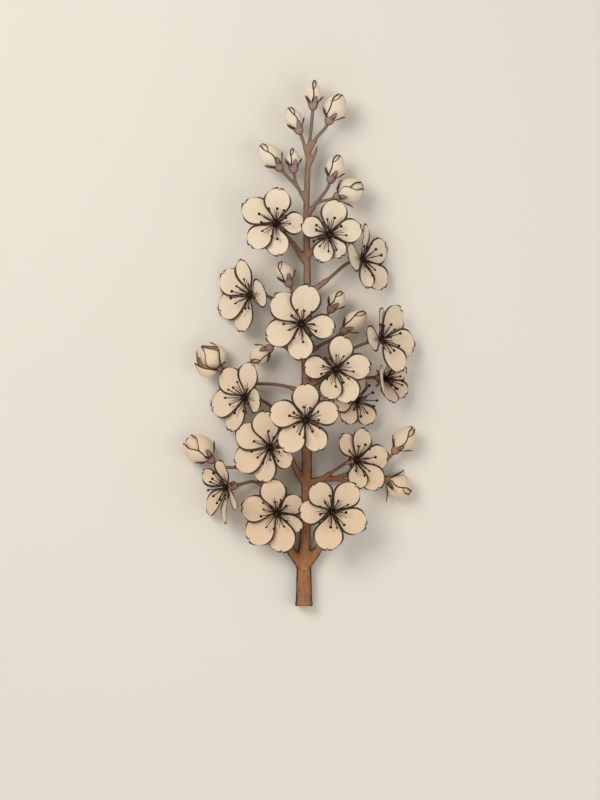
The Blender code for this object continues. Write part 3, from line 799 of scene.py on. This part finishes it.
def make_sepals(name, angles, spine, width, inward, roll, facing, point, node):
    """Pointed, keeled sepals, one at each angle, along a spine from the cup's rim to the tip.

    inward is the way that their edges curl, and roll turns them sideways towards the tip.
    """
    shape = Shape("rim")
    columns = 8
    for angle in angles:
        turn = Matrix.Rotation(angle, 3, "Z")
        points = []
        values = []
        for number, middle in enumerate(spine):
            v = number / (len(spine) - 1)
            half = width * (1.0 - v) ** 0.7 * (1.0 + 0.9 * v)
            sideways = Vector((math.sin(roll * v), math.cos(roll * v), 0.0))
            uninked_base = 0.5 if v < 0.1 else 0.0
            row = []
            for j in range(columns + 1):
                u = 2 * j / columns - 1
                spot = middle + inward * (0.24 * half * u * u)
                row.append(turn @ (spot + sideways * u * half))
                values.append(((1.0 - abs(u)) * half + uninked_base,))
            points.append(row)
        shape.grid(points, values)
    piece = shape.make(name + "_sepals", "calyx", "calyx", facing, point, node)
    thicken(piece, SEPAL_THICKNESS)


def make_turned(shape, name, profile, sides, material, slot, facing, point, node):
    """A round piece on the axis of its flower or bud, turned from (height, radius) pairs."""
    shape.tube([UP * height for height, _ in profile], [radius for _, radius in profile], sides)
    shape.make(name, material, slot, facing, point, node)


def make_calyx(name, flower):
    """A flower's stalk, its cup and the sepals that show between the petals."""
    point, heading, tilt, _, _ = flower
    facing = facing_of(heading, tilt)
    to_local = facing.to_matrix().transposed()
    seat, way = seat_of(name)
    start = to_local @ (seat - Vector(point))
    stalk = Shape("rim")
    path = stalk_path(start, to_local @ way, UP * (CUP_FOOT + 0.3), UP)
    shares = [abs(2 * step / STALK_STEPS - 1) for step in range(STALK_STEPS + 1)]
    stalk.tube(path, [STALK_RADIUS * (1.0 + 0.35 * share**5) for share in shares], 14)
    node = name + "_calyx"
    stalk.make(name + "_stalk", "stalk", "calyx", facing, point, node)
    cup = Shape("rim")
    make_turned(cup, name + "_cup", CUP_PROFILE, 28, "calyx", "calyx", facing, point, node)
    angles = [angle for angle, _, _ in petal_layout(name, flower)]
    following = angles[1:] + [angles[0] + math.tau]
    between = [(first + second) / 2 for first, second in zip(angles, following)]
    spine = []
    for step in range(SEPAL_STEPS + 1):
        v = step / SEPAL_STEPS
        spine.append(Vector((1.8 + 4.6 * v, 0.0, -0.95 - 0.2 * v + 0.3 * math.sin(math.pi * v))))
    make_sepals(name, between, spine, 0.95, -UP, 0.0, facing, point, node)


def make_stamens(name, flower, luck, node):
    """Eleven curved filaments with two-lobed anthers, the pistil and the dark throat."""
    point, heading, tilt, rise, _ = flower
    facing = facing_of(heading, tilt)
    filaments = Shape()
    anthers = bmesh.new()
    for number in range(FILAMENTS):
        angle = math.tau * (number + luck.uniform(-0.3, 0.3)) / FILAMENTS
        steep = math.radians(max(33.0, rise + 21.0) + luck.uniform(-5.0, 9.0))
        share = LENGTH_SHARES[number % len(LENGTH_SHARES)]
        length = FILAMENT_LENGTH * share * luck.uniform(0.95, 1.04)
        path = filament_path(angle, steep, length)
        filaments.tube(path, [0.3 - 0.015 * step for step in range(len(path))], 8)
        end_way = (path[-1] - path[-2]).normalized()
        add_anther(anthers, path[-1], end_way, luck.uniform(0.0, math.pi))
    filaments.make(name + "_filaments", "stamen", "stamen", facing, point, node)
    lobes = Shape()
    lobes.points = [vert.co.copy() for vert in anthers.verts]
    lobes.faces = [tuple(vert.index for vert in face.verts) for face in anthers.faces]
    anthers.free()
    lobes.make(name + "_anthers", "stamen", "stamen", facing, point, node)
    place = (facing, point, node)
    make_turned(Shape(), name + "_pistil", PISTIL_PROFILE, 14, "pistil", "stamen", *place)
    make_turned(Shape(), name + "_throat", THROAT_PROFILE, 24, "stamen", "stamen", *place)


def filament_path(angle, steep, length):
    """The arched middle line of a filament, from the throat to its anther."""
    outward = Vector((math.cos(angle), math.sin(angle), 0.0))
    way = outward * math.cos(steep) + UP * math.sin(steep)
    path = []
    for step in range(7):
        t = step / 6
        arch = 0.5 * math.sin(math.pi * t)
        path.append(outward * 0.45 + UP * 0.3 + way * length * t + UP * arch)
    return path


def add_anther(bm, end, way, roll):
    """Two small pollen sacs side by side at the end of a filament."""
    side = way.orthogonal().normalized()
    side.rotate(Matrix.Rotation(roll, 3, way))
    turn = way.to_track_quat("Z", "Y").to_matrix().to_4x4()
    size = Matrix.Diagonal((*ANTHER_RADII, 1.0))
    for offset in (-0.28, 0.28):
        placed = Matrix.Translation(end + side * offset) @ turn @ size
        bmesh.ops.create_icosphere(bm, subdivisions=2, radius=1.0, matrix=placed)
    bm.verts.index_update()


def make_flower(name, flower):
    """One open flower, with each petal a piece of its own."""
    point, heading, tilt, rise, _ = flower
    luck = random.Random(name)
    facing = facing_of(heading, tilt)
    make_calyx(name, flower)
    petals = name + "_petals"
    for number, petal in enumerate(petal_layout(name, flower), 1):
        make_petal(f"{name}_petal_{number}", petal, math.radians(rise), luck, facing, point, petals)
    stamens = name + "_stamens"
    make_stamens(name, flower, luck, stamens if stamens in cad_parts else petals)


# ---------------------------------------------------------------- buds


def bud_radius(share, pointed):
    """Radius share of the closed petals at a share of their length."""
    round_end = math.sin(math.pi * min(max(share, 0.0), 1.0) ** 0.86) ** 0.62
    sharp_end = math.sin(math.pi * share**0.8) ** 0.9 if 0 < share < 1 else 0.0
    return 0.97 * (sharp_end if pointed else round_end)


def make_bud_petal(name, number, body, width, petal, pointed, luck, facing, point, node):
    """One of the petals wrapped round a bud, each lapping over the next."""
    columns, rows = 20, 18
    shape = Shape("rim", "across", "out", "lean")
    middle, opening, spread = (math.radians(value) for value in petal)
    hinge = Matrix.Rotation(opening, 3, Vector((-math.sin(middle), math.cos(middle), 0)))
    notch_at = luck.uniform(-0.3, 0.3)
    points = []
    values = []
    for i in range(rows + 1):
        v = i / rows
        wrap = spread * (0.55 + 0.45 * math.sin(math.pi * min(v + 0.15, 1.0)))
        uninked_base = 0.5 if v < 0.1 else 0.0
        row = []
        for j in range(columns + 1):
            u = 2 * j / columns - 1
            share = 0.03 + v * (0.965 - 0.05 * u * u)
            share -= 0.035 * v**8 * math.exp(-(((u - notch_at) / 0.14) ** 2))
            radius = bud_radius(share, pointed) * width / 2
            radius += 0.1 + 0.2 * (u + 1) / 2 * (1.0 - 0.6 * v)
            angle = middle + u * wrap + 0.35 * v * v
            out = Vector((math.cos(angle) * radius, math.sin(angle) * radius, share * body))
            row.append(hinge @ out + UP * BUD_PETAL_FOOT)
            side_gap = (1.0 - abs(u)) * wrap * max(radius, 1.0) * 1.4
            tip_gap = (1.0 - v) * body + 0.35
            rim = min(side_gap, tip_gap) + uninked_base
            values.append((rim, u * wrap * radius, share * body + FAR_INSIDE, 0.0))
        points.append(row)
    shape.grid(points, values)
    piece = shape.make(f"{name}_petal_{number}", "petal", "bud", facing, point, node)
    thicken(piece, BUD_PETAL_THICKNESS)


def make_bud_core(name, body, width, pointed, facing, point, node):
    """The inner petals of a bud, seen only as the smooth body that the outer ones wrap."""
    core = Shape("rim", "across", "out", "lean")
    shares = [0.02 + 0.06 * step for step in range(17)]
    path = [UP * (share * body * 0.97 + BUD_PETAL_FOOT) for share in shares]
    radii = [max(bud_radius(share, pointed) * width / 2, 0.12) for share in shares]
    core.tube(path, radii, 26)
    core.make(name + "_inner_petals", "petal", "bud", facing, point, node)


def bud_spine(name, body, width, petals, pointed):
    """The middle line of a bud's sepals: up along its petals, or out under wide open ones."""
    spread = math.sin(math.radians(max(opening for _, opening, _ in petals)))
    spine = []
    for step in range(SEPAL_STEPS + 1):
        v = step / SEPAL_STEPS
        if spread > 0.5:
            spine.append(Vector((2.0 + 2.3 * v, 0.0, 2.7 - 1.0 * v)))
            continue
        height = 3.0 + 3.9 * v
        share = (height - BUD_PETAL_FOOT) / body
        radius = bud_radius(share + spread * width / 2 / body, pointed) * (width - 0.5) / 2
        radius += 0.55 + 0.2 * v + spread * share * body
        radius = min(max(radius, 2.3), 2.3 + 12.0 * v)
        flare = SEPAL_FLARE.get(name, USUAL_FLARE) * v**3
        spine.append(Vector((radius + flare, 0.0, height)))
    return spine


def make_bud(name):
    """One bud on its stalk, with its outer petals shut unless OPEN_PETALS says otherwise."""
    foot, tip, width = BUDS[name]
    luck = random.Random(name)
    axis = Vector(tip) - Vector(foot)
    heading = math.degrees(math.atan2(axis.y, axis.x))
    facing = facing_of(heading, math.degrees(axis.angle(UP)))
    to_local = facing.to_matrix().transposed()
    seat, way = seat_of(name)
    node = SEATS.get(name, name)
    pointed = name in POINTED_BUDS
    body = axis.length - BUD_PETAL_FOOT
    turned = 104 + luck.uniform(-25, 25)
    shut = tuple((turned + step, 0, BUD_WRAP) for step in (0, 120, 240))
    petals = OPEN_PETALS.get(name, shut)
    core_width = width * CORE_SHARES.get(name, USUAL_CORE_SHARE)
    make_bud_core(name, body, core_width, pointed, facing, foot, node)
    for number, petal in enumerate(petals, 1):
        make_bud_petal(name, number, body, width - 0.5, petal, pointed, luck, facing, foot, node)
    stalk = Shape("rim")
    path = stalk_path(to_local @ (seat - Vector(foot)), to_local @ way, UP * 0.3, UP)
    stalk.tube(path, [STALK_RADIUS] * len(path), 14)
    stalk.make(name + "_stalk", "stalk", "calyx", facing, foot, node)
    cup = Shape("rim")
    make_turned(cup, name + "_cup", BUD_CUP_PROFILE, 28, "calyx", "calyx", facing, foot, node)
    angles = [math.tau * (number + 0.75) / 5 for number in range(5)]
    spine = bud_spine(name, body, width, petals, pointed)
    inward = Vector((-1.0, 0.0, 0.2))
    make_sepals(name, angles, spine, 1.2, inward, 0.65, facing, foot, node)


# ---------------------------------------------------------------- stage


def make_stage():
    """A plain pale table just under the sprig, and soft light from three sides."""
    bpy.ops.mesh.primitive_plane_add(size=14.0, location=(0.0, 0.0, -0.0001))
    table = bpy.context.object
    table.name = "table"
    surface = Nodes("table", 0.85)
    surface.colour((0.80, 0.755, 0.68, 1.0))
    table.data.materials.append(surface.material)
    world = bpy.data.worlds.new("studio")
    world.use_nodes = True
    world.node_tree.nodes["Background"].inputs["Color"].default_value = (1.0, 0.98, 0.95, 1.0)
    world.node_tree.nodes["Background"].inputs["Strength"].default_value = 0.42
    bpy.context.scene.world = world
    add_light("key", (-0.45, 0.35, 0.75), 0.5, 4.6)
    add_light("fill", (0.6, -0.2, 0.6), 0.7, 1.9)
    add_light("low", (0.0, -0.7, 0.4), 0.5, 0.8)


def add_light(name, place, size, watts):
    """A square lamp that shines at the middle of the sprig."""
    lamp = bpy.data.lights.new(name, "AREA")
    lamp.shape = "SQUARE"
    lamp.size = size
    lamp.energy = watts
    lamp.color = (1.0, 0.965, 0.92)
    holder = bpy.data.objects.new(name, lamp)
    holder.location = place
    holder.rotation_euler = (-Vector(place)).to_track_quat("-Z", "Y").to_euler()
    bpy.context.scene.collection.objects.link(holder)


def make_camera():
    """A camera straight above, with the sprig a little above the middle of the picture."""
    low, high = CAD_BOX
    shown = (high[1] - low[1]) / LENGTH_IN_PICTURE
    camera = bpy.data.cameras.new("camera")
    camera.sensor_fit = "VERTICAL"
    camera.sensor_height = 24.0
    camera.lens = camera.sensor_height * (CAMERA_HEIGHT - SPRIG_MIDDLE) / shown
    holder = bpy.data.objects.new("camera", camera)
    middle = [(low[axis] + high[axis]) / 2 for axis in (0, 1)]
    holder.location = (middle[0], middle[1] - shown * RISE_IN_PICTURE, CAMERA_HEIGHT)
    bpy.context.scene.collection.objects.link(holder)
    bpy.context.scene.camera = holder


make_twig()
make_cut_face()
for flower_name, flower_row in FLOWERS.items():
    make_flower(flower_name, flower_row)
for bud_name in BUDS:
    make_bud(bud_name)
make_stage()
make_camera()
bpy.context.scene.view_settings.view_transform = "Standard"
